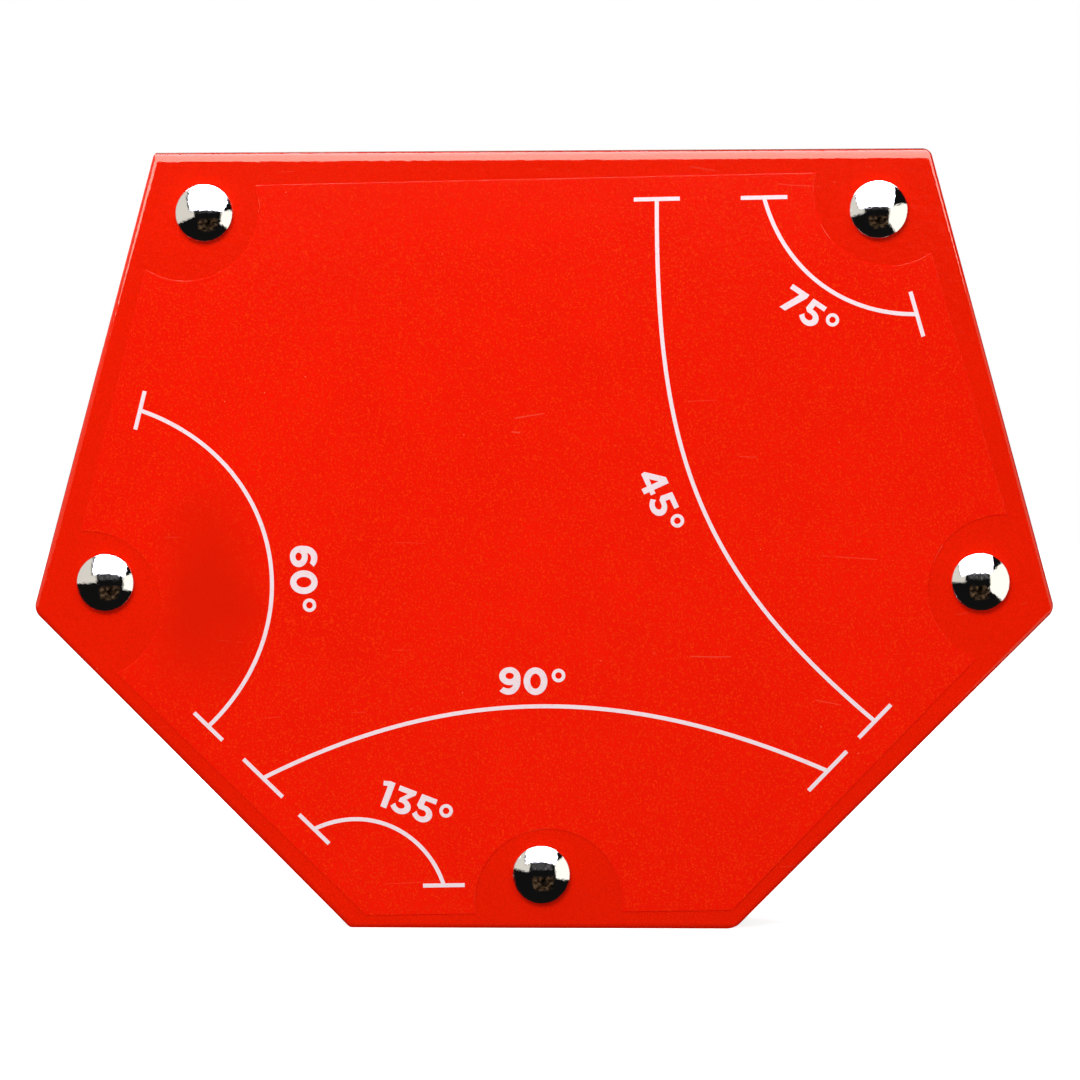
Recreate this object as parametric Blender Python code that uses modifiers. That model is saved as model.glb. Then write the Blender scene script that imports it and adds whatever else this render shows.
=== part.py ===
"""Magnetic welding holder: two painted steel plates riveted over a core of magnets.

The holder stands on its short bottom edge with the printed face toward -Y.
The origin is at the middle of the bounding box's underside. Lengths are in metres.
"""

import math

import bmesh
import bpy
from mathutils import Matrix, Vector

# Outline of the steel plates, seen from the front.
PLATE_WIDTH = 0.1360
PLATE_HEIGHT = 0.1035
BOTTOM_EDGE = 0.0513
LOWER_SIDE_ANGLE = math.radians(45.0)
UPPER_SIDE_ANGLE = math.radians(75.0)
CORNER_RADIUS = 0.0009

# The sandwich of plates and core.
PLATE_THICKNESS = 0.0030
PLATE_GAP = 0.0140
EDGE_ROLL = 0.00135
CORE_INSET = 0.0012

# Rivets, measured from the nearest corner of the plate.
TOP_RIVET_SIDE_INSET = 0.0068
TOP_RIVET_DROP = 0.0082
SIDE_RIVET_INSET = 0.0098
SIDE_RIVET_RISE = 0.0037
BOTTOM_RIVET_HEIGHT = 0.0072
SHANK_RADIUS = 0.0020
HEAD_RADIUS = 0.0038
HEAD_HEIGHT = 0.0020
HEAD_LAND = 0.00035
LIP_RADIUS = 0.0033
LIP_HEIGHT = 0.0012
BORE_RADIUS = 0.0013
BORE_DEPTH = 0.0060
SLEEVE_RADIUS = 0.0042

# Magnets, in rows from the bottom up.
MAGNET_ROWS = (
    ("lower", ("left", "right")),
    ("middle", ("left", "centre", "right")),
    ("upper", ("left", "centre", "right")),
)
MAGNET_RIB = 0.0020
MAGNET_RIM = 0.0050
MAGNET_CHAMFER = 0.0005

# Printed label.
LABEL_MARGIN = 0.0030
LABEL_SIDE_SHIFT = 0.0003
LABEL_DROP = 0.0009
LABEL_TURN = math.radians(0.95)
LABEL_THICKNESS = 0.0002
CUTOUT_RADIUS = 0.00985
TOP_CUTOUT_SHIFT = (0.0019, 0.0016)
SIDE_CUTOUT_SHIFT = (0.0027, -0.0020)
BOTTOM_CUTOUT_SHIFT = (0.0, -0.0038)

# Clearances.
FIT_GAP = 0.0003
GLUE_GAP = 0.0001

# Steps round a circle and along an arc.
ROUND_STEPS = 32
CUTOUT_STEPS = 64
ARC_STEPS = 6
BEVEL_STEPS = 4

# Worked out from the dimensions above.
LOWER_RISE = (PLATE_WIDTH - BOTTOM_EDGE) / 2 * math.tan(LOWER_SIDE_ANGLE)
TOP_EDGE = PLATE_WIDTH - 2 * (PLATE_HEIGHT - LOWER_RISE) / math.tan(UPPER_SIDE_ANGLE)
RIVET_SEAT = PLATE_GAP / 2 + PLATE_THICKNESS + FIT_GAP
CORE_THICKNESS = PLATE_GAP - 2 * FIT_GAP
MID_PLANE_Y = (HEAD_HEIGHT - LIP_HEIGHT) / 2
FACING_FRONT = (math.pi / 2, 0.0, 0.0)

TOP_RIVET = Vector((TOP_EDGE / 2 - TOP_RIVET_SIDE_INSET, PLATE_HEIGHT - TOP_RIVET_DROP))
SIDE_RIVET = Vector((PLATE_WIDTH / 2 - SIDE_RIVET_INSET, LOWER_RISE + SIDE_RIVET_RISE))
BOTTOM_RIVET = Vector((0.0, BOTTOM_RIVET_HEIGHT))


def mirrored(point):
    """Return a point's twin on the other side of the holder's middle."""
    return Vector((-point[0], point[1]))


RIVETS = {
    "top_left": mirrored(TOP_RIVET),
    "top_right": TOP_RIVET,
    "side_left": mirrored(SIDE_RIVET),
    "side_right": SIDE_RIVET,
    "bottom": BOTTOM_RIVET,
}
CUTOUT_SHIFTS = {
    "top_left": mirrored(TOP_CUTOUT_SHIFT),
    "top_right": Vector(TOP_CUTOUT_SHIFT),
    "side_left": mirrored(SIDE_CUTOUT_SHIFT),
    "side_right": Vector(SIDE_CUTOUT_SHIFT),
    "bottom": Vector(BOTTOM_CUTOUT_SHIFT),
}


def clear_scene():
    """Remove whatever the scene already holds."""
    for old in list(bpy.data.objects):
        bpy.data.objects.remove(old, do_unlink=True)


def new_collection(name):
    """Return a new collection linked to the scene."""
    collection = bpy.data.collections.new(name)
    bpy.context.scene.collection.children.link(collection)
    return collection


def new_material(name, colour, roughness, metallic):
    """Return a Principled material of one colour."""
    material = bpy.data.materials.new(name)
    material.use_nodes = True
    shader = material.node_tree.nodes["Principled BSDF"]
    shader.inputs["Base Color"].default_value = (*colour, 1.0)
    shader.inputs["Roughness"].default_value = roughness
    shader.inputs["Metallic"].default_value = metallic
    return material


def add_piece(name, mesh, material):
    """Add a piece that faces the front, hung on the holder's mid plane."""
    piece = bpy.data.objects.new(name, mesh)
    HOLDER.objects.link(piece)
    mesh.materials.clear()
    mesh.materials.append(material)
    piece.parent = MID_PLANE
    piece.rotation_euler = FACING_FRONT
    return piece


def add_cutter(name, mesh):
    """Add a helper that faces the front and only cuts other pieces."""
    cutter = bpy.data.objects.new(name, mesh)
    CUTTERS.objects.link(cutter)
    cutter.parent = MID_PLANE
    cutter.rotation_euler = FACING_FRONT
    cutter.hide_render = True
    cutter.display_type = "WIRE"
    return cutter


def cut(piece, cutter):
    """Cut one object out of another."""
    boolean = piece.modifiers.new(cutter.name, "BOOLEAN")
    boolean.operation = "DIFFERENCE"
    boolean.solver = "EXACT"
    boolean.object = cutter


def smooth(mesh):
    """Shade a round mesh smooth and keep its sharp edges."""
    mesh.shade_smooth()
    mesh.set_sharp_from_angle(angle=math.radians(35.0))


def plate_outline():
    """Return the six corners of a plate, anticlockwise from the lower right."""
    right_side = [
        Vector((BOTTOM_EDGE / 2, 0.0)),
        Vector((PLATE_WIDTH / 2, LOWER_RISE)),
        Vector((TOP_EDGE / 2, PLATE_HEIGHT)),
    ]
    return right_side + [mirrored(corner) for corner in reversed(right_side)]


def inset_outline(corners, inset):
    """Return a convex outline with every edge moved inward by the inset."""
    inner = []
    for index, corner in enumerate(corners):
        before = (corner - corners[index - 1]).normalized()
        after = (corners[(index + 1) % len(corners)] - corner).normalized()
        normal_before = Vector((-before.y, before.x))
        normal_after = Vector((-after.y, after.x))
        reach = inset / (1 + normal_before.dot(normal_after))
        inner.append(corner + (normal_before + normal_after) * reach)
    return inner


def half_width(corners, height):
    """Return half the width of a symmetric outline at a height."""
    for start, end in zip(corners[:2], corners[1:3]):
        if start.y <= height <= end.y:
            share = (height - start.y) / (end.y - start.y)
            return start.x + share * (end.x - start.x)
    raise ValueError("the height lies outside the outline")


def flat_mesh(name, corners, thickness):
    """Return a flat slab of a given outline as a mesh with single-face ends."""
    curve = bpy.data.curves.new(name, "CURVE")
    curve.dimensions = "2D"
    curve.fill_mode = "BOTH"
    curve.extrude = thickness / 2
    spline = curve.splines.new("POLY")
    spline.points.add(len(corners) - 1)
    for point, corner in zip(spline.points, corners):
        point.co = (corner.x, corner.y, 0.0, 1.0)
    spline.use_cyclic_u = True
    guide = bpy.data.objects.new(name, curve)
    bpy.context.scene.collection.objects.link(guide)
    bpy.context.view_layer.update()
    graph = bpy.context.evaluated_depsgraph_get()
    mesh = bpy.data.meshes.new_from_object(guide.evaluated_get(graph))
    bpy.data.objects.remove(guide, do_unlink=True)
    slab = bmesh.new()
    slab.from_mesh(mesh)
    bmesh.ops.remove_doubles(slab, verts=slab.verts, dist=1e-6)
    bmesh.ops.dissolve_limit(slab, angle_limit=0.01, verts=slab.verts, edges=slab.edges)
    bmesh.ops.recalc_face_normals(slab, faces=slab.faces)
    slab.to_mesh(mesh)
    slab.free()
    return mesh


def round_mesh(name, places, radius, length, steps):
    """Return upright cylinders at a list of places, as one mesh."""
    rounds = bmesh.new()
    for place in places:
        bmesh.ops.create_cone(
            rounds,
            cap_ends=True,
            segments=steps,
            radius1=radius,
            radius2=radius,
            depth=length,
            matrix=Matrix.Translation((place.x, place.y, 0.0)),
        )
    mesh = bpy.data.meshes.new(name)
    rounds.to_mesh(mesh)
    rounds.free()
    return mesh


def block_mesh(name, places, length, height, thickness):
    """Return boxes at a list of places, as one mesh."""
    blocks = bmesh.new()
    size = Matrix.Diagonal((length, height, thickness, 1.0))
    for place in places:
        where = Matrix.Translation((place.x, place.y, 0.0))
        bmesh.ops.create_cube(blocks, size=1.0, matrix=where @ size)
    mesh = bpy.data.meshes.new(name)
    blocks.to_mesh(mesh)
    blocks.free()
    return mesh


def turned_piece(name, profile, closed, material):
    """Add a piece turned about its own Z axis from a profile of radius and height."""
    mesh = bpy.data.meshes.new(name)
    edges = [(step, step + 1) for step in range(len(profile) - 1)]
    if closed:
        edges.append((len(profile) - 1, 0))
    mesh.from_pydata([(radius, 0.0, height) for radius, height in profile], edges, [])
    piece = add_piece(name, mesh, material)
    screw = piece.modifiers.new("turn", "SCREW")
    screw.steps = ROUND_STEPS
    screw.render_steps = ROUND_STEPS
    screw.use_merge_vertices = True
    screw.merge_threshold = 0.00001
    screw.use_smooth_shade = True
    return piece


def arc(centre, radii, start, end):
    """Return points along an elliptical arc between two angles."""
    angles = [start + (end - start) * step / ARC_STEPS for step in range(ARC_STEPS + 1)]
    return [
        (centre[0] + radii[0] * math.cos(angle), centre[1] + radii[1] * math.sin(angle))
        for angle in angles
    ]


def rivet_profile():
    """Return a semi-tubular rivet's section, from its crown to the end of its bore."""
    crown_height = HEAD_HEIGHT - HEAD_LAND
    crown_radius = (HEAD_RADIUS**2 + crown_height**2) / (2 * crown_height)
    crown_centre = RIVET_SEAT + HEAD_HEIGHT - crown_radius
    rim_angle = math.acos(HEAD_RADIUS / crown_radius)
    crown = arc((0.0, crown_centre), (crown_radius, crown_radius), math.pi / 2, rim_angle)
    crown[0] = (0.0, RIVET_SEAT + HEAD_HEIGHT)
    lip_centre = (LIP_RADIUS + BORE_RADIUS) / 2
    lip_reach = (LIP_RADIUS - BORE_RADIUS) / 2
    lip = arc((lip_centre, -RIVET_SEAT), (lip_reach, LIP_HEIGHT), 0.0, -math.pi)
    neck = [(HEAD_RADIUS, RIVET_SEAT), (SHANK_RADIUS, RIVET_SEAT), (SHANK_RADIUS, -RIVET_SEAT)]
    bore_end = BORE_DEPTH - RIVET_SEAT
    return crown + neck + lip + [(BORE_RADIUS, bore_end), (0.0, bore_end)]


def add_plate(name, front, paint, holes):
    """Add one steel plate, with its outer edge rolled over all round."""
    mesh = flat_mesh(name, plate_outline(), PLATE_THICKNESS)
    outer_side = 1 if front else -1
    weigh_plate_edges(mesh, outer_side)
    plate = add_piece(name, mesh, paint)
    plate.location.y = -outer_side * (PLATE_GAP + PLATE_THICKNESS) / 2
    bevel = plate.modifiers.new("rolled_edge", "BEVEL")
    bevel.limit_method = "WEIGHT"
    bevel.width = EDGE_ROLL
    bevel.segments = BEVEL_STEPS
    cut(plate, holes)
    smooth(mesh)
    return plate


def weigh_plate_edges(mesh, outer_side):
    """Mark the outer rim for a full roll and the upright corners for a small radius."""
    plate = bmesh.new()
    plate.from_mesh(mesh)
    weights = plate.edges.layers.float.new("bevel_weight_edge")
    for edge in plate.edges:
        first, second = (outer_side * vert.co.z for vert in edge.verts)
        if first > 0 and second > 0:
            edge[weights] = 1.0
        elif first * second < 0:
            edge[weights] = CORNER_RADIUS / EDGE_ROLL
    plate.to_mesh(mesh)
    plate.free()


def add_rivets(metal):
    """Add the five semi-tubular rivets."""
    for place_name, place in RIVETS.items():
        rivet = turned_piece(f"rivet_{place_name}", rivet_profile(), False, metal)
        rivet.location = (place.x, 0.0, place.y)


def add_sleeves(metal):
    """Add the spacer sleeves that keep the plates apart round each rivet."""
    bore = SHANK_RADIUS + FIT_GAP
    half_length = CORE_THICKNESS / 2
    section = [
        (SLEEVE_RADIUS, half_length),
        (SLEEVE_RADIUS, -half_length),
        (bore, -half_length),
        (bore, half_length),
    ]
    for place_name, place in RIVETS.items():
        sleeve = turned_piece(f"spacer_{place_name}", section, True, metal)
        sleeve.location = (place.x, 0.0, place.y)


def magnet_layout():
    """Return the size of one magnet and the place of each, by name.

    The rows fill the height between the bottom and the top sleeves. All magnets are
    one size: the longest that the narrowest row can hold.
    """
    reach = SLEEVE_RADIUS + FIT_GAP + MAGNET_RIB
    low = BOTTOM_RIVET.y + reach
    high = TOP_RIVET.y - reach
    pitch_up = (high - low + MAGNET_RIB) / len(MAGNET_ROWS)
    height = pitch_up - MAGNET_RIB
    inner = inset_outline(plate_outline(), MAGNET_RIM)
    lengths = []
    for row, (_, columns) in enumerate(MAGNET_ROWS):
        row_low = low + row * pitch_up
        room = min(half_width(inner, row_low), half_width(inner, row_low + height))
        room = min(room, SIDE_RIVET.x - reach)
        lengths.append((2 * room + MAGNET_RIB) / len(columns) - MAGNET_RIB)
    length = min(lengths)
    places = {}
    for row, (row_name, columns) in enumerate(MAGNET_ROWS):
        for column, column_name in enumerate(columns):
            across = (column - (len(columns) - 1) / 2) * (length + MAGNET_RIB)
            up = low + row * pitch_up + height / 2
            places[f"magnet_{row_name}_{column_name}"] = Vector((across, up))
    return length, height, places


def add_core(plastic, ferrite):
    """Add the core frame and the magnets in its pockets."""
    length, height, places = magnet_layout()
    outline = inset_outline(plate_outline(), CORE_INSET)
    core = add_piece("core_frame", flat_mesh("core_frame", outline, CORE_THICKNESS), plastic)
    pockets = block_mesh("magnet_pockets", places.values(), length, height, 2 * PLATE_GAP)
    cut(core, add_cutter("magnet_pockets", pockets))
    seat_radius = SLEEVE_RADIUS + FIT_GAP
    seats = round_mesh("sleeve_seats", RIVETS.values(), seat_radius, 2 * PLATE_GAP, ROUND_STEPS)
    cut(core, add_cutter("sleeve_seats", seats))
    magnet_length = length - 2 * FIT_GAP
    magnet_height = height - 2 * FIT_GAP
    for name, place in places.items():
        mesh = block_mesh(name, [Vector((0.0, 0.0))], magnet_length, magnet_height, CORE_THICKNESS)
        magnet = add_piece(name, mesh, ferrite)
        magnet.location = (place.x, 0.0, place.y)
        chamfer = magnet.modifiers.new("chamfer", "BEVEL")
        chamfer.width = MAGNET_CHAMFER
        chamfer.segments = 1


def add_label(film):
    """Add the label, cut away in an arc round each rivet and stuck on a little crooked."""
    outline = inset_outline(plate_outline(), LABEL_MARGIN)
    label = add_piece("front_label", flat_mesh("front_label", outline, LABEL_THICKNESS), film)
    places = [RIVETS[name] + CUTOUT_SHIFTS[name] for name in RIVETS]
    thickness = 4 * LABEL_THICKNESS
    cutouts = round_mesh("label_cutouts", places, CUTOUT_RADIUS, thickness, CUTOUT_STEPS)
    cutter = add_cutter("label_cutouts", cutouts)
    cut(label, cutter)
    front_face = PLATE_GAP / 2 + PLATE_THICKNESS + GLUE_GAP + LABEL_THICKNESS / 2
    middle = Vector((LABEL_SIDE_SHIFT, -front_face, LOWER_RISE))
    turn = Matrix.Rotation(-LABEL_TURN, 4, "Y")
    placing = Matrix.Translation(middle) @ turn @ Matrix.Translation((0.0, 0.0, -LOWER_RISE))
    facing = Matrix.Rotation(FACING_FRONT[0], 4, "X")
    label.matrix_local = placing @ Matrix.Translation((0.0, 0.0, -LABEL_DROP)) @ facing
    cutter.matrix_local = placing @ facing


clear_scene()
HOLDER = new_collection("welding_magnet_holder")
CUTTERS = new_collection("cutters")
MID_PLANE = bpy.data.objects.new("mid_plane", None)
HOLDER.objects.link(MID_PLANE)
MID_PLANE.location = (0.0, MID_PLANE_Y, 0.0)

HOLE_RADIUS = SHANK_RADIUS + FIT_GAP
HOLE_MESH = round_mesh("rivet_holes", RIVETS.values(), HOLE_RADIUS, 2 * PLATE_GAP, ROUND_STEPS)
RIVET_HOLES = add_cutter("rivet_holes", HOLE_MESH)

add_plate("front_plate", True, new_material("front_paint", (0.80, 0.015, 0.0), 0.25, 0.0), RIVET_HOLES)
add_plate("rear_plate", False, new_material("rear_paint", (0.78, 0.015, 0.0), 0.28, 0.0), RIVET_HOLES)
add_label(new_material("label_film", (0.82, 0.02, 0.0), 0.35, 0.0))
add_core(
    new_material("core_plastic", (0.02, 0.02, 0.022), 0.6, 0.0),
    new_material("ferrite", (0.05, 0.05, 0.055), 0.55, 0.1),
)
add_sleeves(new_material("sleeve_metal", (0.75, 0.76, 0.78), 0.35, 1.0))
add_rivets(new_material("rivet_nickel", (0.9, 0.9, 0.88), 0.08, 1.0))
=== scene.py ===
"""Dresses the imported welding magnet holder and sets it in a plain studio.

The holder is a sandwich: two pressed steel plates, painted red, over a moulded
core that holds ferrite magnets. Five semi-tubular rivets with bright domed heads
hold it together. A printed film on the front carries the angle marks.

Everything is in metres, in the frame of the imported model: the front faces -Y.
"""

import logging
import math
from collections.abc import Callable, Iterator, Sequence
from contextlib import contextmanager
from dataclasses import dataclass, field
from enum import Enum

import bpy
from mathutils import Matrix, Quaternion, Vector


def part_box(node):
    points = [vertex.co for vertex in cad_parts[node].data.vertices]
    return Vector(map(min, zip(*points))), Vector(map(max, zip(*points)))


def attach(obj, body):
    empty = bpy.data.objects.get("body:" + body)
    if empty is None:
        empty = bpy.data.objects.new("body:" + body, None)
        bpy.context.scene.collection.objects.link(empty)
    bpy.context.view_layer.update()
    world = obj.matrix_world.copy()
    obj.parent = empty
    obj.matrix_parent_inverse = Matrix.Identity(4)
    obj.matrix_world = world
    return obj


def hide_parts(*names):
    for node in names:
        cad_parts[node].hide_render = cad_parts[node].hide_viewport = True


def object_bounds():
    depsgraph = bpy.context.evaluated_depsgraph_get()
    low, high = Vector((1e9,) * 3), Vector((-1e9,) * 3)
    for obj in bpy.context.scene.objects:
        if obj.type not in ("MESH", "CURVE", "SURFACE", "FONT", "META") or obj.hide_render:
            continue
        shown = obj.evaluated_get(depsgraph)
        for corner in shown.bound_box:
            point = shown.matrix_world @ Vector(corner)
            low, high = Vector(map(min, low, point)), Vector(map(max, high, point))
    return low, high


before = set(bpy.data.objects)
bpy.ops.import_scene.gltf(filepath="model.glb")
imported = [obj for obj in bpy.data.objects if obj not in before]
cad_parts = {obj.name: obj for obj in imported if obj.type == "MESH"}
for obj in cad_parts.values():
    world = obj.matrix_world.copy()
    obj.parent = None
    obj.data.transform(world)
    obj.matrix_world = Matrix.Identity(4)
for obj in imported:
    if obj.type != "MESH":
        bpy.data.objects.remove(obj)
CAD_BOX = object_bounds()

LOG = logging.getLogger("holder")
MM = 0.001
MICRON = 1e-6
NEAR = 2e-6
BODY = "root"
RIVET_NAMES = ("top_left", "top_right", "side_left", "side_right", "bottom")
STAND_UP = Matrix.Rotation(math.pi / 2, 4, "X")

Point = tuple[float, float]
Place = tuple[float, float, float]
Colour = tuple[float, float, float, float]
Inputs = dict[str | int, object]
Piece = bpy.types.Object
Material = bpy.types.Material
Socket = bpy.types.NodeSocket
Tree = bpy.types.NodeTree
PairTest = Callable[[Vector, Vector], float]

WHITE: Colour = (1.0, 1.0, 1.0, 1.0)
BLACK: Colour = (0.0, 0.0, 0.0, 1.0)
WARM_GLOSS: Colour = (1.0, 0.92, 0.66, 1.0)


class Slot(Enum):
    """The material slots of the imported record."""

    FRONT_PAINT = "front_paint"
    REAR_PAINT = "rear_paint"
    LABEL_FILM = "label_film"
    CORE_PLASTIC = "core_plastic"
    RIVET_PLATING = "rivet_plating"
    SLEEVE_METAL = "sleeve_metal"
    FERRITE = "ferrite"


class Side(Enum):
    """Which way a plate's painted outer face looks, as a sign along Y."""

    FRONT = -1
    REAR = 1


class Blend(Enum):
    """The Boolean operations that join or cut pieces."""

    CUT = "DIFFERENCE"
    WELD = "UNION"


class Part(Enum):
    """The parts of a mesh that are chosen by a test."""

    EDGE = "EDGE"
    FACE = "FACE"


# ---- Bench tools ----


def clear_selection() -> None:
    """Leave edit mode and select nothing."""
    if bpy.context.object and bpy.context.object.mode != "OBJECT":
        bpy.ops.object.mode_set(mode="OBJECT")
    bpy.ops.object.select_all(action="DESELECT")


def pick_up(piece: Piece) -> None:
    """Make one piece the only selected and the active one.

    Args:
        piece: The piece to pick up.
    """
    clear_selection()
    piece.select_set(True)
    bpy.context.view_layer.objects.active = piece


def new_piece(name: str) -> Piece:
    """Name the primitive that was just added and settle its size and place.

    Args:
        name: The piece's name.

    Returns:
        The piece, with its place in its mesh.
    """
    piece = bpy.context.object
    piece.name = name
    piece.data.name = name
    bpy.ops.object.transform_apply(location=True, rotation=True, scale=True)
    return piece


@contextmanager
def edit(piece: Piece) -> Iterator[None]:
    """Hold a piece in edit mode with all of it selected.

    Args:
        piece: The piece to edit.
    """
    pick_up(piece)
    bpy.ops.object.mode_set(mode="EDIT")
    bpy.ops.mesh.select_mode(type="VERT")
    bpy.ops.mesh.select_all(action="SELECT")
    yield
    bpy.ops.object.mode_set(mode="OBJECT")


def ends(piece: Piece, edge: bpy.types.MeshEdge) -> list[Vector]:
    """Return the two ends of an edge."""
    return [piece.data.vertices[index].co for index in edge.vertices]


def choose(piece: Piece, part: Part, wanted: PairTest) -> None:
    """Select the edges or the faces, in edit mode, that pass a test.

    Args:
        piece: The piece in edit mode.
        part: Whether edges or faces are chosen.
        wanted: Takes an edge's two ends, or a face's middle and normal.
    """
    bpy.ops.mesh.select_mode(type=part.value)
    bpy.ops.mesh.select_all(action="DESELECT")
    bpy.ops.object.mode_set(mode="OBJECT")
    if part is Part.EDGE:
        for edge in piece.data.edges:
            edge.select = wanted(*ends(piece, edge))
    else:
        for face in piece.data.polygons:
            face.select = wanted(face.center, face.normal)
    bpy.ops.object.mode_set(mode="EDIT")


def finish_with(piece: Piece, kind: str, **settings: object) -> None:
    """Add a modifier to a piece and apply it.

    Args:
        piece: The piece to change.
        kind: The modifier's type.
        **settings: The modifier's own settings.
    """
    pick_up(piece)
    bpy.ops.object.modifier_add(type=kind)
    modifier = piece.modifiers[-1]
    for setting, value in settings.items():
        setattr(modifier, setting, value)
    bpy.ops.object.modifier_apply(modifier=modifier.name)


def combine(piece: Piece, other: Piece, how: Blend) -> None:
    """Cut one piece with another, or weld them, and remove the other.

    Args:
        piece: The piece that stays.
        other: The cutter, or the piece to weld on.
        how: What to do.
    """
    finish_with(piece, "BOOLEAN", operation=how.value, solver="EXACT", object=other)
    bpy.data.objects.remove(other, do_unlink=True)


def duplicate(piece: Piece, name: str, shift: Vector) -> Piece:
    """Copy a piece with its own mesh and move the copy.

    Args:
        piece: The piece to copy.
        name: The copy's name.
        shift: How far the copy moves.

    Returns:
        The copy, with its place in its mesh.
    """
    pick_up(piece)
    bpy.ops.object.duplicate(linked=False)
    bpy.ops.transform.translate(value=shift)
    return new_piece(name)


def place(piece: Piece, where: Matrix) -> None:
    """Move a piece and settle its new place in its mesh.

    Args:
        piece: The piece to move.
        where: Its new place and turn.
    """
    pick_up(piece)
    piece.matrix_world = where
    bpy.ops.object.transform_apply(location=True, rotation=True, scale=True)


def smooth(piece: Piece, degrees: float = 35.0) -> None:
    """Shade a piece smooth, and keep edges sharper than an angle."""
    pick_up(piece)
    bpy.ops.object.shade_smooth_by_angle(angle=math.radians(degrees))


def rod(name: str, radius: float, middle: Vector, length: float, steps: int) -> Piece:
    """Add a round cutter that runs along Y.

    Args:
        name: The cutter's name.
        radius: Its radius.
        middle: Its middle.
        length: Its length.
        steps: How many sides it has.

    Returns:
        The cutter.
    """
    clear_selection()
    bpy.ops.mesh.primitive_cylinder_add(
        vertices=steps,
        radius=radius,
        depth=length,
        location=middle,
        rotation=(math.pi / 2, 0.0, 0.0),
    )
    return new_piece(name)


def hand_over(
    piece: Piece,
    material: Material,
    nodes: Sequence[str] = (),
) -> None:
    """Dress a finished piece and hang it on the holder's body.

    Args:
        piece: The finished piece.
        material: Its finish.
        nodes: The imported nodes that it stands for.
    """
    piece.data.materials.clear()
    piece.data.materials.append(material)
    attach(piece, BODY)
    if nodes:
        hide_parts(*nodes)
    LOG.info("%s: %d faces, %s", piece.name, len(piece.data.polygons), material.name)


def node_middle(node: str) -> Vector:
    """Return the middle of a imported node's box."""
    low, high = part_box(node)
    return (low + high) / 2


# ---- The holder's outline ----


@dataclass(frozen=True)
class Outline:
    """The six-sided outline that the plates, the film and the core share."""

    width: float = 136.0 * MM
    height: float = 103.5 * MM
    bottom_edge: float = 51.3 * MM
    lower_angle: float = math.radians(45.0)
    upper_angle: float = math.radians(75.0)

    @property
    def shoulder(self) -> float:
        """The height of the two widest corners."""
        return (self.width - self.bottom_edge) / 2 * math.tan(self.lower_angle)

    def slopes(self) -> list[tuple[Vector, Vector]]:
        """Find the slanted sides.

        Returns:
            For each side, a point on it and its outward direction.
        """
        corner = Vector((self.width / 2, 0.0, self.shoulder))
        lower = Vector((math.sin(self.lower_angle), 0.0, -math.cos(self.lower_angle)))
        upper = Vector((math.sin(self.upper_angle), 0.0, math.cos(self.upper_angle)))
        mirror = Matrix.Diagonal((-1.0, 1.0, 1.0))
        right = [(corner, lower), (corner, upper)]
        return right + [(mirror @ point, mirror @ outward) for point, outward in right]

    def slab(self, name: str, inset: float, front: float, rear: float) -> Piece:
        """Cut a flat slab to this outline.

        Args:
            name: The slab's name.
            inset: How far every side moves inward.
            front: Where its front face lies along Y.
            rear: Where its rear face lies along Y.

        Returns:
            The slab, with sharp corners and edges.
        """
        clear_selection()
        bpy.ops.mesh.primitive_cube_add(
            size=1.0,
            location=(0.0, (front + rear) / 2, self.height / 2),
            scale=(1.2 * self.width, rear - front, self.height - 2 * inset),
        )
        piece = new_piece(name)
        with edit(piece):
            for point, outward in self.slopes():
                bpy.ops.mesh.select_all(action="SELECT")
                bpy.ops.mesh.bisect(
                    plane_co=point - outward * inset,
                    plane_no=outward,
                    use_fill=True,
                    clear_outer=True,
                    threshold=MICRON,
                )
        return piece


OUTLINE = Outline()


# ---- Node trees ----


class Board:
    """A node tree with short calls to add and join nodes."""

    def __init__(self, tree: Tree) -> None:
        """Keep the tree."""
        self.tree = tree

    def node(self, kind: str, inputs: Inputs, **settings: object) -> bpy.types.Node:
        """Add a node and feed its inputs.

        Args:
            kind: The node's type, without the "ShaderNode" in front.
            inputs: For each input, a value or the socket that feeds it.
            **settings: The node's own settings.

        Returns:
            The node.
        """
        node = self.tree.nodes.new(f"ShaderNode{kind}")
        for setting, value in settings.items():
            setattr(node, setting, value)
        self.feed(node, inputs)
        return node

    def add(self, kind: str, inputs: Inputs, output: str | int = 0, **settings: object) -> Socket:
        """Add a node and return one of its outputs."""
        return self.node(kind, inputs, **settings).outputs[output]

    def feed(self, node: bpy.types.Node, inputs: Inputs) -> None:
        """Feed a node's inputs with values or with other nodes' outputs.

        Args:
            node: The node to feed.
            inputs: For each input, a value or the socket that feeds it.
        """
        for name, value in inputs.items():
            if isinstance(value, Socket):
                self.tree.links.new(value, node.inputs[name])
            else:
                node.inputs[name].default_value = value

    def math(self, operation: str, *values: object) -> Socket:
        """Add a Math node on one to three values."""
        return self.add("Math", dict(enumerate(values)), operation=operation)

    def vector(self, operation: str, first: object, second: object, output: int = 0) -> Socket:
        """Add a Vector Math node on two vectors."""
        return self.add("VectorMath", {0: first, 1: second}, output, operation=operation)

    def ramp(self, value: Socket, low: float, high: float) -> Socket:
        """Map a value smoothly to run from nothing at low to one at high."""
        sockets: Inputs = {0: value, 1: low, 2: high, 3: 0.0, 4: 1.0}
        return self.add("MapRange", sockets, interpolation_type="SMOOTHSTEP")

    def tint(self, share: object, base: object, over: object) -> Socket:
        """Mix two colours by a share."""
        return self.add("Mix", {0: share, 6: base, 7: over}, 2, data_type="RGBA")


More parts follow.
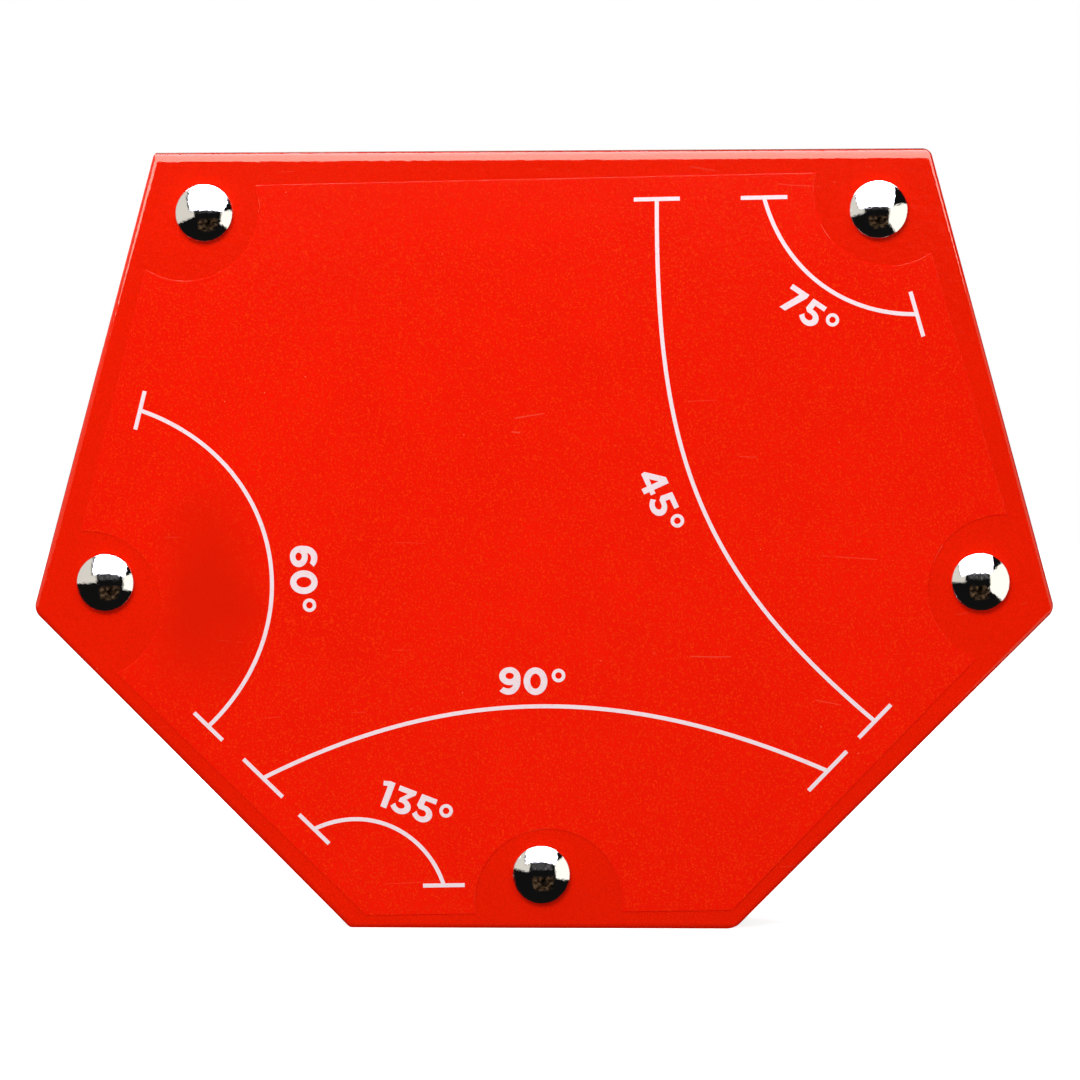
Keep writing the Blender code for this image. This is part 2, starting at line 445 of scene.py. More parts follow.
class Pattern(Board):
    """A node tree that spreads patterns over places given by a vector."""

    def __init__(self, tree: Tree, places: Socket) -> None:
        """Keep the tree and the places."""
        super().__init__(tree)
        self.places = places

    def noise(self, output: str | int = 0, **inputs: object) -> Socket:
        """Spread noise over the places."""
        return self.add("TexNoise", {"Vector": self.places, **inputs}, output)

    def wander(self, reach: float, **inputs: object) -> Socket:
        """Return the places, each shifted by a noise.

        Args:
            reach: The shift for the noise's whole range.
            **inputs: The noise's inputs.

        Returns:
            The shifted places.
        """
        noise = self.noise("Color", **inputs)
        shift = self.add("VectorMath", {0: noise, "Scale": reach}, operation="SCALE")
        return self.vector("ADD", self.places, shift)

    def mask(self, effect: Tree, **numbers: float) -> Socket:
        """Spread a shared effect over the places."""
        return self.add("Group", {"Vector": self.places, **numbers}, node_tree=effect)


class Effect(Pattern):
    """A shared effect: a node group that turns a Vector and named numbers into a Mask."""

    def __init__(self, name: str, numbers: dict[str, float]) -> None:
        """Make an empty group with its sockets.

        Args:
            name: The group's name.
            numbers: Its number inputs, with their usual values.
        """
        tree = bpy.data.node_groups.new(name, "ShaderNodeTree")
        sockets = tree.interface
        sockets.new_socket(name="Vector", in_out="INPUT", socket_type="NodeSocketVector")
        for number, value in numbers.items():
            socket = sockets.new_socket(name=number, in_out="INPUT", socket_type="NodeSocketFloat")
            socket.default_value = value
        sockets.new_socket(name="Mask", in_out="OUTPUT", socket_type="NodeSocketFloat")
        self.given = tree.nodes.new("NodeGroupInput").outputs
        super().__init__(tree, self.given["Vector"])

    def close(self, mask: Socket) -> Tree:
        """Send a mask out of the group and return the group."""
        self.tree.links.new(mask, self.tree.nodes.new("NodeGroupOutput").inputs[0])
        return self.tree


class Effects:
    """The effects that more than one finish uses, each built once."""

    def __init__(self) -> None:
        """Build every effect."""
        self.mottle = self._mottle()
        self.specks = self._specks()
        self.hairlines = self._hairlines()
        self.worn_arris = self._worn_arris()

    @staticmethod
    def _mottle() -> Tree:
        """Make soft noise, pulled into a contrast of low to high.

        Returns:
            The effect's node group.
        """
        effect = Effect("mottle", {"Scale": 300.0, "Detail": 3.0, "Low": 0.35, "High": 0.65})
        given = effect.given
        noise = effect.noise(Scale=given["Scale"], Detail=given["Detail"])
        mask = effect.add("MapRange", {0: noise, 1: given["Low"], 2: given["High"], 3: 0.0, 4: 1.0})
        return effect.close(mask)

    @staticmethod
    def _specks() -> Tree:
        """Make small round specks, in only a share of the cells of a scatter.

        Returns:
            The effect's node group.
        """
        effect = Effect("specks", {"Scale": 300.0, "Size": 0.1, "Share": 0.1})
        given = effect.given
        wobbly = effect.wander(0.12 * MM, Scale=9000.0)
        cells = effect.node("TexVoronoi", {"Vector": wobbly, "Scale": given["Scale"]}).outputs
        luck = effect.node("SeparateColor", {0: cells["Color"]}).outputs
        chosen = effect.math("LESS_THAN", luck[0], given["Share"])
        reach = effect.math("MULTIPLY", given["Size"], effect.math("MULTIPLY_ADD", luck[1], 0.8, 0.4))
        near = effect.math("LESS_THAN", cells["Distance"], reach)
        return effect.close(effect.math("MULTIPLY", chosen, near))

    @staticmethod
    def _hairlines() -> Tree:
        """Make long thin broken lines along X of the given vector.

        Returns:
            The effect's node group.
        """
        effect = Effect("hairlines", {"Scale": 60.0, "Width": 0.01, "Share": 0.5})
        given = effect.given
        bent = effect.wander(4.0 * MM, Scale=25.0)
        long = effect.add("Mapping", {"Vector": bent, "Scale": (0.12, 1.0, 1.0)})
        noise = effect.add("TexNoise", {"Vector": long, "Scale": given["Scale"], "Detail": 0.0})
        off_line = effect.math("ABSOLUTE", effect.math("SUBTRACT", noise, 0.5))
        line = effect.math("LESS_THAN", off_line, given["Width"])
        kept = effect.math("LESS_THAN", effect.noise(Scale=170.0, Detail=2.0), given["Share"])
        return effect.close(effect.math("MULTIPLY", line, kept))

    @staticmethod
    def _worn_arris() -> Tree:
        """Make a ragged band of wear and painted shade along the plate's outer arris, at Crest along Y.

        Returns:
            The effect's node group.
        """
        effect = Effect("worn_arris", {"Crest": 0.0, "Width": 0.45 * MM, "Ragged": 0.5 * MM})
        given, math_node = effect.given, effect.math
        across, depth, up = effect.node("SeparateXYZ", {0: given["Vector"]}).outputs
        folded = effect.add("CombineXYZ", {0: math_node("ABSOLUTE", across), 2: up})
        above = math_node("SUBTRACT", up, OUTLINE.height)
        beyond = math_node("MAXIMUM", above, math_node("MULTIPLY", up, -1.0))
        for point, outward in OUTLINE.slopes()[:2]:
            along = effect.vector("DOT_PRODUCT", folded, outward, 1)
            beyond = math_node("MAXIMUM", beyond, math_node("SUBTRACT", along, point.dot(outward)))
        off_crest = math_node("ABSOLUTE", math_node("SUBTRACT", depth, given["Crest"]))
        away = math_node("ADD", off_crest, math_node("MULTIPLY", beyond, -1.0))
        ragged = math_node("SUBTRACT", effect.noise(Scale=700.0, Detail=5.0), 0.5)
        swing = math_node("MULTIPLY", ragged, given["Ragged"])
        return effect.close(math_node("LESS_THAN", math_node("ADD", away, swing), given["Width"]))


class Coat(Pattern):
    """A new material's node tree, with colours laid one over another."""

    def __init__(self, name: str, colour: Colour = WHITE) -> None:
        """Make a material that reads its piece's own coordinates.

        Args:
            name: The material's name.
            colour: The lowest colour.
        """
        self.material = bpy.data.materials.new(name)
        self.material.use_nodes = True
        tree = self.material.node_tree
        super().__init__(tree, tree.nodes.new("ShaderNodeTexCoord").outputs["Object"])
        self.colour: object = colour

    def lay(self, mask: Socket, strength: float, colour: Colour) -> None:
        """Lay a colour over the lower ones, where a mask lets it through."""
        self.colour = self.tint(self.math("MULTIPLY", mask, strength), self.colour, colour)

    def ripple(self, height: Socket, depth: float, strength: float = 1.0) -> None:
        """Raise the surface by a height in shading only."""
        bump = self.add("Bump", {"Height": height, "Distance": depth, "Strength": strength})
        self.shine(Normal=bump)

    def shine(self, **inputs: object) -> None:
        """Feed the Principled shader; an underscore stands for a blank."""
        shader = self.tree.nodes["Principled BSDF"]
        self.feed(shader, {name.replace("_", " "): value for name, value in inputs.items()})


# ---- Finishes ----


@dataclass(frozen=True)
class Finish:
    """A procedural finish of the holder."""

    name: str
    colour: Colour
    gloss: Colour

    def make(self, effects: Effects) -> Material:
        """Build the finish.

        Args:
            effects: The shared effects.

        Returns:
            The material.
        """
        coat = Coat(self.name, self.colour)
        coat.shine(Specular_Tint=self.gloss)
        self.spread(coat, effects)
        coat.shine(Base_Color=coat.colour)
        return coat.material

    def spread(self, coat: Coat, effects: Effects) -> None:
        """Lay the finish's own colours and roughness on a coat."""
        raise NotImplementedError


@dataclass(frozen=True)
class RedPaint(Finish):
    """Glossy red enamel over steel, dark along its outer arris: partly wear to metal, partly painted
    shade.
    """

    colour: Colour = (0.89, 0.0095, 0.0004, 1.0)
    gloss: Colour = WARM_GLOSS
    crest: float = 0.0
    shaded: Colour = (0.72, 0.0075, 0.0003, 1.0)
    # dark red-brown for worn metal, and for painted shade along the plate's outline
    bare: Colour = (0.16, 0.028, 0.012, 1.0)
    dust: Colour = (0.88, 0.22, 0.13, 1.0)
    warm: Colour = (0.94, 0.0400, 0.0022, 1.0)
    roughness: float = 0.06
    worn_roughness: float = 0.4
    peel: float = 0.06 * MM

    def spread(self, coat: Coat, effects: Effects) -> None:
        """Lay cloudy red with a fine grain, dust, scratches, and a dark arris of wear and painted shade.

        Args:
            coat: The coat to lay it on.
            effects: The shared effects.
        """
        mottle = effects.mottle
        coat.lay(coat.mask(mottle, Scale=45.0, Low=0.3, High=0.7), 0.55, self.shaded)
        coat.lay(coat.mask(mottle, Scale=4200.0, Detail=1.0), 0.60, self.shaded)
        coat.lay(coat.mask(mottle, Scale=5200.0, Detail=3.0, Low=0.50, High=0.72), 0.50, self.warm)
        coat.lay(coat.mask(effects.specks, Scale=420.0, Size=0.04, Share=0.13), 0.8, self.dust)
        coat.lay(coat.mask(effects.hairlines, Width=0.0012, Share=0.42), 0.10, self.dust)
        # the dark arris band is painted shade along the outline as well as worn metal
        worn = coat.mask(effects.worn_arris, Crest=self.crest)
        coat.lay(worn, 1.0, self.bare)
        peel = coat.noise(Scale=800.0, Detail=2.0)
        coat.ripple(coat.math("ADD", peel, coat.math("MULTIPLY", worn, -0.8)), self.peel, 0.9)
        coat.shine(Roughness=coat.math("MULTIPLY_ADD", worn, self.worn_roughness, self.roughness))


@dataclass(frozen=True)
class RedFilm(Finish):
    """Printed red film with a fine grain, cloudy where the glue took unevenly."""

    name: str = "printed_red_film"
    colour: Colour = (0.96, 0.0074, 0.0003, 1.0)
    gloss: Colour = WARM_GLOSS
    shaded: Colour = (0.77, 0.0048, 0.0002, 1.0)
    glued: Colour = (0.70, 0.0090, 0.0002, 1.0)
    warm: Colour = (0.99, 0.0400, 0.0024, 1.0)
    dust: Colour = (0.92, 0.34, 0.20, 1.0)
    roughness: float = 0.09
    waviness: float = 0.03 * MM
    patch_middle: Place = (-38.0 * MM, -3.9 * MM, 50.0 * MM)
    patch_slimness: Place = (1.6, 0.0, 0.8)
    patch_reach: float = 10.0 * MM

    def spread(self, coat: Coat, effects: Effects) -> None:
        """Lay cloudy red with a fine grain, a glue patch, dust and scratches.

        Args:
            coat: The coat to lay it on.
            effects: The shared effects.
        """
        mottle = effects.mottle
        coat.lay(coat.mask(mottle, Scale=32.0, Low=0.35, High=0.72), 0.30, self.shaded)
        coat.lay(coat.mask(mottle, Scale=160.0, Detail=4.0), 0.22, self.shaded)
        coat.lay(coat.mask(mottle, Scale=4600.0, Detail=1.0), 0.70, self.shaded)
        coat.lay(coat.mask(mottle, Scale=4600.0, Detail=3.0, Low=0.50, High=0.72), 0.85, self.warm)
        coat.lay(self._patch(coat), 0.80, self.glued)
        coat.lay(coat.mask(effects.specks, Scale=380.0, Size=0.038, Share=0.16), 0.6, self.dust)
        coat.lay(coat.mask(effects.hairlines, Width=0.0010, Share=0.40), 0.12, self.dust)
        coat.ripple(coat.noise(Scale=1300.0, Detail=2.0), self.waviness)
        coat.shine(Roughness=self.roughness)

    def _patch(self, coat: Coat) -> Socket:
        """Blot the film where it has darkened over spread glue.

        Args:
            coat: The film's coat.

        Returns:
            The blot's mask.
        """
        ragged = coat.wander(12.0 * MM, Scale=90.0, Detail=4.0)
        away = coat.vector("SUBTRACT", ragged, self.patch_middle)
        slim = coat.vector("MULTIPLY", away, self.patch_slimness)
        reach = coat.add("VectorMath", {0: slim}, 1, operation="LENGTH")
        return coat.ramp(reach, 1.5 * self.patch_reach, 0.2 * self.patch_reach)


@dataclass(frozen=True)
class MarkInk(Finish):
    """Pale ink, a little pink where the red film shows through."""

    name: str = "pale_mark_ink"
    colour: Colour = (0.88, 0.72, 0.75, 1.0)
    gloss: Colour = WHITE
    thin: Colour = (0.86, 0.46, 0.48, 1.0)

    def spread(self, coat: Coat, effects: Effects) -> None:
        """Thin the ink in soft patches and in small pits.

        Args:
            coat: The coat to lay it on.
            effects: The shared effects.
        """
        worn = coat.mask(effects.mottle, Scale=1500.0, Detail=3.0, Low=0.5, High=0.8)
        pits = coat.mask(effects.specks, Scale=1400.0, Size=0.3, Share=0.08)
        share = coat.math("MAXIMUM", coat.math("MULTIPLY", worn, 0.5), coat.math("MULTIPLY", pits, 0.6))
        coat.lay(share, 1.0, self.thin)
        coat.shine(Roughness=coat.math("MULTIPLY_ADD", worn, 0.15, 0.30))


@dataclass(frozen=True)
class BrightPlating(Finish):
    """Bright nickel plating with a faint ripple, fine scratches and small pits."""

    name: str = "bright_plating"
    colour: Colour = (0.83, 0.82, 0.80, 1.0)
    gloss: Colour = WHITE
    stain: Colour = (0.30, 0.26, 0.22, 1.0)
    waviness: float = 0.02 * MM

    def spread(self, coat: Coat, effects: Effects) -> None:
        """Stain the pits, and roughen the metal along its scratches.

        Args:
            coat: The coat to lay it on.
            effects: The shared effects.
        """
        coat.lay(coat.mask(effects.specks, Scale=2200.0, Size=0.18, Share=0.05), 0.55, self.stain)
        lines = coat.mask(effects.hairlines, Scale=400.0, Width=0.006, Share=0.45)
        coat.ripple(coat.noise(Scale=2300.0, Detail=4.0, Roughness=0.55), self.waviness)
        coat.shine(Metallic=1.0, Roughness=coat.math("MULTIPLY_ADD", lines, 0.10, 0.02))


@dataclass(frozen=True)
class GrainedSolid(Finish):
    """A finish with a fine grain in its colour, gloss and surface."""

    gloss: Colour = (1.0, 0.98, 0.86, 1.0)
    shaded: Colour = WHITE
    metallic: float = 0.0
    roughness: float = 0.5
    grain_scale: float = 2000.0
    grain_depth: float = 0.03 * MM
    mirror: float = 0.5

    def spread(self, coat: Coat, effects: Effects) -> None:
        """Lay a grained, cloudy colour, roughened along fine scratches.

        Args:
            coat: The coat to lay it on.
            effects: The shared effects.
        """
        cloud = coat.mask(effects.mottle, Scale=90.0)
        grain = coat.mask(effects.mottle, Scale=self.grain_scale, Detail=4.0)
        coat.lay(coat.math("ADD", cloud, grain), 0.5, self.shaded)
        lines = coat.mask(effects.hairlines, Scale=140.0, Width=0.004)
        uneven = coat.math("MULTIPLY_ADD", grain, 0.1, coat.math("MULTIPLY", lines, 0.12))
        coat.ripple(grain, self.grain_depth, 0.5)
        rough = coat.math("ADD", self.roughness, uneven)
        coat.shine(Metallic=self.metallic, Specular_IOR_Level=self.mirror, Roughness=rough)


MOULDED_PLASTIC = GrainedSolid(
    "moulded_black_plastic",
    colour=(0.022, 0.022, 0.024, 1.0),
    shaded=(0.012, 0.012, 0.013, 1.0),
    roughness=0.62,
    grain_scale=2600.0,
    mirror=0.15,
)
TURNED_SLEEVE = GrainedSolid(
    "turned_sleeve_metal",
    colour=(0.72, 0.73, 0.75, 1.0),
    shaded=(0.58, 0.59, 0.61, 1.0),
    metallic=1.0,
    roughness=0.28,
    grain_scale=3400.0,
    grain_depth=0.01 * MM,
)
SINTERED_FERRITE = GrainedSolid(
    "sintered_ferrite",
    colour=(0.060, 0.061, 0.065, 1.0),
    shaded=(0.030, 0.030, 0.033, 1.0),
    roughness=0.55,
    grain_scale=1800.0,
    grain_depth=0.04 * MM,
)


# ---- Plates ----


@dataclass(frozen=True)
class PressedPlate:
    """A pressed steel plate, its outer edge rolled over, with five rivet holes."""

    node: str
    side: Side
    slot: Slot
    edge_roll: float = 1.35 * MM
    corner_radius: float = 1.0 * MM
    sharp_radius: float = 0.35 * MM
    inner_break: float = 0.15 * MM
    left_share: float = 0.62
    right_share: float = 0.36
    foot_share: float = 0.55
    roll_steps: int = 12
    break_steps: int = 3
    wear_shift: float = 0.35 * MM
    hole_radius: float = 2.15 * MM
    hole_steps: int = 64
    flat_margin: float = 0.1 * MM

    def faces(self) -> tuple[float, float]:
        """Return where the plate's front and rear faces lie along Y."""
        low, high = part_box(self.node)
        return low.y, high.y

    @property
    def outer(self) -> float:
        """Where the painted outer face lies along Y."""
        return self.faces()[0 if self.side is Side.FRONT else 1]

    @property
    def inner(self) -> float:
        """Where the inner face lies along Y."""
        return self.faces()[1 if self.side is Side.FRONT else 0]

    @property
    def crest(self) -> float:
        """Where the dark band of wear and painted shade on the rolled edge is deepest along Y, by the flat
        strip.
        """
        return self.outer - self.side.value * (self.edge_roll - self.wear_shift)

    def build(self, material: Material) -> None:
        """Build and dress the plate.

        Args:
            material: The plate's paint.
        """
        plate = OUTLINE.slab(f"{self.node}_pressed", 0.0, *self.faces())
        self._roll_edges(plate)
        self._flatten_face(plate)
        for rivet in RIVET_NAMES:
            middle = node_middle(f"rivet_{rivet}")
            middle.y = sum(self.faces()) / 2
            hole = rod("rivet_hole", self.hole_radius, middle, 8 * MM, self.hole_steps)
            combine(plate, hole, Blend.CUT)
        smooth(plate)
        hand_over(plate, material, [self.node])

    def _roll_edges(self, plate: Piece) -> None:
        """Roll the outer rim and round the upright corners, then break the inner rim.

        Args:
            plate: The plate's slab.
        """
        outer, inner = self.outer, self.inner

        def roll(first: Vector, second: Vector) -> float:
            """Share out the roll.

            Args:
                first: One end of an edge.
                second: Its other end.

            Returns:
                The edge's share of the full roll.
            """
            if abs(first.y - second.y) > NEAR:
                return self._corner(first) / self.edge_roll
            on_rim = abs(first.y - outer) < NEAR
            return self._share((first + second) / 2) if on_rim else 0.0

        def on_inner_rim(first: Vector, second: Vector) -> float:
            """Return one for an edge of the inner face, and nothing for any other."""
            return float(max(abs(first.y - inner), abs(second.y - inner)) < NEAR)

        self._bevel(plate, roll, self.edge_roll, self.roll_steps)
        self._bevel(plate, on_inner_rim, self.inner_break, self.break_steps)

    @staticmethod
    def _bevel(plate: Piece, weigh: PairTest, width: float, steps: int) -> None:
        """Bevel a plate's edges, each by its own share of a width.

        Args:
            plate: The plate.
            weigh: Takes an edge's two ends and returns its share of the width.
            width: The full width.
            steps: How many steps the bevel takes.
        """
        name = "bevel_weight_edge"
        weights = plate.data.attributes.get(name) or plate.data.attributes.new(name, "FLOAT", "EDGE")
        for edge, weight in zip(plate.data.edges, weights.data):
            weight.value = weigh(*ends(plate, edge))
        finish_with(plate, "BEVEL", limit_method="WEIGHT", width=width, segments=steps)

    def _corner(self, place: Vector) -> float:
        """Return an upright corner's radius: the left ones are sharp, but for the widest."""
        at_shoulder = abs(place.z - OUTLINE.shoulder) < MM
        return self.corner_radius if place.x > 0.0 or at_shoulder else self.sharp_radius

    def _share(self, middle: Vector) -> float:
        """Find how far one side of the rim is rolled.

        Args:
            middle: The middle of the side.

        Returns:
            The share of the top side's roll.
        """
        if middle.z > OUTLINE.height - MM:
            return 1.0
        if middle.z < MM:
            return self.foot_share
        return self.left_share if middle.x < 0.0 else self.right_share

    def _flatten_face(self, plate: Piece) -> None:
        """Ring each broad face with a narrow flat band, so that it shades dead flat.

        Args:
            plate: The plate to ring.
        """
        with edit(plate):
            choose(plate, Part.FACE, lambda middle, normal: abs(normal.y) > 1.0 - 1e-6)
            bpy.ops.mesh.inset(thickness=self.flat_margin, use_individual=True)


# ---- Film and printed marks ----


@dataclass(frozen=True)
class LabelPlace:
    """Where the film lies: a little crooked on the front plate."""

    margin: float = 3.0 * MM
    drop: float = 0.9 * MM
    side_shift: float = 0.3 * MM
    turn: float = math.radians(0.95)
    glue: float = 0.01 * MM
    thickness: float = 0.085 * MM

    @property
    def rear(self) -> float:
        """Where the film's glued side lies along Y, just off the plate."""
        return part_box("front_plate")[0].y - self.glue

    @property
    def surface(self) -> float:
        """Where the film's printed face lies along Y."""
        return self.rear - self.thickness

    def matrix(self) -> Matrix:
        """Turn about the film's middle at shoulder height.

        Returns:
            The turn.
        """
        middle = Vector((0.0, 0.0, OUTLINE.shoulder))
        turn = Matrix.Rotation(-self.turn, 4, "Y")
        return Matrix.Translation(middle) @ turn @ Matrix.Translation(-middle)


LABEL_PLACE = LabelPlace()


@dataclass(frozen=True)
class LabelFilm:
    """The printed film, cut away in an arc round each rivet."""

    node: str = "front_label"
    cutout_radius: float = 9.85 * MM
    cutout_steps: int = 160
    edge_break: float = 0.035 * MM
    cutout_shifts: dict[str, Point] = field(
        default_factory=lambda: {
            "top_left": (-1.9 * MM, 1.6 * MM),
            "top_right": (1.9 * MM, 1.6 * MM),
            "side_left": (-2.7 * MM, -2.0 * MM),
            "side_right": (2.7 * MM, -2.0 * MM),
            "bottom": (0.0, -3.8 * MM),
        }
    )

    def build(self, material: Material) -> None:
        """Build and dress the film.

        Args:
            material: The film's finish.
        """
        front, rear = LABEL_PLACE.surface, LABEL_PLACE.rear
        film = OUTLINE.slab("front_label_film", LABEL_PLACE.margin, front, rear)
        place(film, Matrix.Translation((0.0, 0.0, -LABEL_PLACE.drop)))
        for rivet, (across, up) in self.cutout_shifts.items():
            middle = node_middle(f"rivet_{rivet}") + Vector((across, 0.0, up))
            middle.y = front
            cutter = rod("cutout", self.cutout_radius, middle, 1 * MM, self.cutout_steps)
            combine(film, cutter, Blend.CUT)
        with edit(film):
            bpy.ops.mesh.dissolve_limited(angle_limit=math.radians(0.5))
        finish_with(film, "BEVEL", width=self.edge_break, segments=1, limit_method="ANGLE")
        place(film, LABEL_PLACE.matrix() @ Matrix.Translation((LABEL_PLACE.side_shift, 0.0, 0.0)))
        smooth(film)
        hand_over(film, material, [self.node])


def flat(point: Point) -> Vector:
    """Return a place on the table, from millimetres across and up."""
    return Vector((*point, 0.0)) * MM


def bow(centre: Point, reach: Point, start: float, end: float, steps: int = 12) -> list[Point]:
    """Return points along an elliptical arc.

    Args:
        centre: The ellipse's middle.
        reach: Its half width and half height.
        start: The first angle, in degrees.
        end: The last angle, in degrees.
        steps: How many steps the arc takes.

    Returns:
        The points, with both ends.
    """
    angles = [math.radians(start + (end - start) * step / steps) for step in range(steps + 1)]
    return [(centre[0] + reach[0] * math.cos(a), centre[1] + reach[1] * math.sin(a)) for a in angles]


def oval(centre: Point, reach: Point) -> list[Point]:
    """Return a closed ellipse."""
    return bow(centre, reach, 0.0, 348.75, 31)


@dataclass(frozen=True)
class Glyph:
    """One character of a bold grotesque, one unit high."""

    width: float
    contours: list[list[Point]]

    def turned(self) -> "Glyph":
        """Return the character upside down, as a 6 is to a 9."""
        flipped = [[(self.width - x, 1.0 - y) for x, y in contour] for contour in self.contours]
        return Glyph(self.width, flipped)


def nine() -> Glyph:
    """Draw a 9: a bowl with a tail that curls back under it.

    Returns:
        The character.
    """
    tail = bow((0.36, 0.5), (0.5, 0.5), 227, 270) + bow((0.36, 0.5), (0.43, 0.5), 270, 360)
    crown = bow((0.395, 0.62), (0.395, 0.4), 0, 90) + bow((0.395, 0.687), (0.395, 0.333), 90, 292)
    inside = bow((0.34, 0.45), (0.2, 0.218), -20, -90) + bow((0.34, 0.45), (0.28, 0.218), -90, -130)
    return Glyph(0.79, [tail + crown + inside, oval((0.39, 0.695), (0.153, 0.118))])


def five() -> Glyph:
    """Draw a 5: a flag, a stem and an open bowl.

    Returns:
        The character.
    """
    flag = [(0.70, 0.98), (0.70, 0.79), (0.305, 0.79), (0.29, 0.615)]
    bowl = bow((0.36, 0.30), (0.367, 0.315), 90, -90) + bow((0.36, 0.42), (0.45, 0.435), -90, -143)
    inside = bow((0.33, 0.42), (0.23, 0.236), -155, -90) + bow((0.33, 0.307), (0.16, 0.123), -90, 90)
    return Glyph(0.727, [flag + bowl + inside + [(0.17, 0.43), (0.053, 0.537), (0.095, 0.98)]])


def three() -> Glyph:
    """Draw a 3 with a flat top and an open bowl.

    Returns:
        The character.
    """
    top = [(0.07, 0.985), (0.74, 0.985), (0.74, 0.84), (0.47, 0.57)]
    bowl = bow((0.37, 0.28), (0.37, 0.295), 70, -90) + bow((0.37, 0.42), (0.46, 0.435), -90, -143)
    inside = bow((0.34, 0.42), (0.23, 0.24), -155, -90) + bow((0.34, 0.295), (0.165, 0.115), -90, 90)
    notch = [(0.225, 0.41), (0.225, 0.54), (0.455, 0.79), (0.07, 0.79)]
    return Glyph(0.74, [top + bowl + inside + notch])


def four() -> Glyph:
    """Draw a 4 with a closed counter.

    Returns:
        The character.
    """
    outside = [
        (0.51, 1.0), (0.75, 1.0), (0.75, 0.405), (0.89, 0.405), (0.89, 0.216), (0.75, 0.216),
        (0.75, 0.0), (0.535, 0.0), (0.535, 0.216), (0.03, 0.216), (0.0, 0.36),
    ]
    return Glyph(0.89, [outside, [(0.535, 0.69), (0.535, 0.405), (0.315, 0.405)]])


GLYPHS = {
    "0": Glyph(0.88, [oval((0.44, 0.5), (0.44, 0.51)), oval((0.44, 0.5), (0.197, 0.279))]),
    "1": Glyph(0.44, [[(0, 0.93), (0.24, 1), (0.44, 1), (0.44, 0), (0.21, 0), (0.21, 0.8), (0.04, 0.76)]]),
    "3": three(),
    "4": four(),
    "5": five(),
    "6": nine().turned(),
    "7": Glyph(
        0.745, [[(0, 1), (0.745, 1), (0.745, 0.85), (0.314, 0), (0.064, 0), (0.436, 0.8), (0, 0.8)]]
    ),
    "9": nine(),
}
DEGREE = Glyph(0.5, [oval((0.25, 0.71), (0.25, 0.25)), oval((0.25, 0.71), (0.122, 0.122))])


@dataclass(frozen=True)
class Bar:
    """A short end bar of a mark: its middle on the film and its slope."""

    middle: Point
    slope: float


@dataclass(frozen=True)
class AngleMark:
    """One printed mark: a curve between two bars, and its angle in figures.

    Places are across and up on the film, in millimetres, and slopes are in degrees.
    """

    angle: int
    bars: tuple[Bar, Bar]
    pull: tuple[Point, Point]
    bar_length: float
    figures_at: Point
    figures_slope: float
    figures_height: float = 3.6
    line_width: float = 0.53
    raised: float = 0.03
    sunk: float = 0.005
    line_steps: int = 48
    figure_gap: float = 0.115
    degree_gap: float = 0.163

    def build(self, material: Material) -> None:
        """Build and dress the mark.

        Args:
            material: The ink.
        """
        mark = self._curve()
        for bar in self.bars:
            combine(mark, self._bar(bar), Blend.WELD)
        figures = self._figures()
        clear_selection()
        figures.select_set(True)
        mark.select_set(True)
        bpy.context.view_layer.objects.active = mark
        bpy.ops.object.join()
        mark.name = mark.data.name = f"mark_{self.angle}_degrees"
        depth = LABEL_PLACE.surface - (self.raised - self.sunk) / 2 * MM
        place(mark, LABEL_PLACE.matrix() @ Matrix.Translation((0.0, depth, 0.0)) @ STAND_UP)
        smooth(mark)
        hand_over(mark, material)

    def _curve(self) -> Piece:
        """Sweep the thin line between the two bars, flat on the table.

        Returns:
            The line.
        """
        clear_selection()
        bpy.ops.curve.primitive_bezier_curve_add()
        line = bpy.context.object
        line.data.dimensions = "2D"
        line.data.resolution_u = self.line_steps
        line.data.extrude = (self.raised + self.sunk) / 2 * MM
        knots = zip(line.data.splines[0].bezier_points, self.bars, self.pull)
        for point, bar, pull in knots:
            point.handle_left_type = point.handle_right_type = "FREE"
            point.co = flat(bar.middle)
            point.handle_left = point.handle_right = flat(pull)
        bpy.ops.object.convert(target="MESH")
        line = new_piece("mark_line")
        finish_with(line, "SOLIDIFY", thickness=self.line_width * MM, offset=0.0, use_even_offset=True)
        return line

    def _bar(self, bar: Bar) -> Piece:
        """Lay one end bar flat on the table.

        Args:
            bar: Its place and slope.

        Returns:
            The bar.
        """
        clear_selection()
        bpy.ops.mesh.primitive_cube_add(
            size=1.0,
            location=flat(bar.middle),
            rotation=(0.0, 0.0, math.radians(bar.slope)),
            scale=(self.bar_length * MM, self.line_width * MM, (self.raised + self.sunk) * MM),
        )
        return new_piece("mark_bar")

    def _figures(self) -> Piece:
        """Fill the figures' outlines, set them in line and lay them in their place.

        Returns:
            The figures.
        """
        contours: list[list[Point]] = []
        pen = 0.0
        digits = [GLYPHS[digit] for digit in str(self.angle)]
        for index, glyph in enumerate([*digits, DEGREE]):
            if index:
                pen += self.degree_gap if glyph is DEGREE else self.figure_gap
            contours += [[(pen + x, y) for x, y in contour] for contour in glyph.contours]
            pen += glyph.width
        curve = bpy.data.curves.new("figures", "CURVE")
        curve.dimensions = "2D"
        curve.fill_mode = "BOTH"
        curve.extrude = (self.raised + self.sunk) / 2 * MM
        size = self.figures_height * MM
        for contour in contours:
            spline = curve.splines.new("POLY")
            spline.points.add(len(contour) - 1)
            for point, (x, y) in zip(spline.points, contour):
                point.co = ((x - pen / 2) * size, (y - 0.5) * size, 0.0, 1.0)
            spline.use_cyclic_u = True
        figures = bpy.data.objects.new("figures", curve)
        bpy.context.scene.collection.objects.link(figures)
        pick_up(figures)
        bpy.ops.object.convert(target="MESH")
        figures = bpy.context.object
        with edit(figures):
            bpy.ops.mesh.remove_doubles(threshold=NEAR)
            bpy.ops.mesh.normals_make_consistent(inside=False)
        middle = Matrix.Translation(flat(self.figures_at))
        place(figures, middle @ Matrix.Rotation(math.radians(self.figures_slope), 4, "Z"))
        return figures


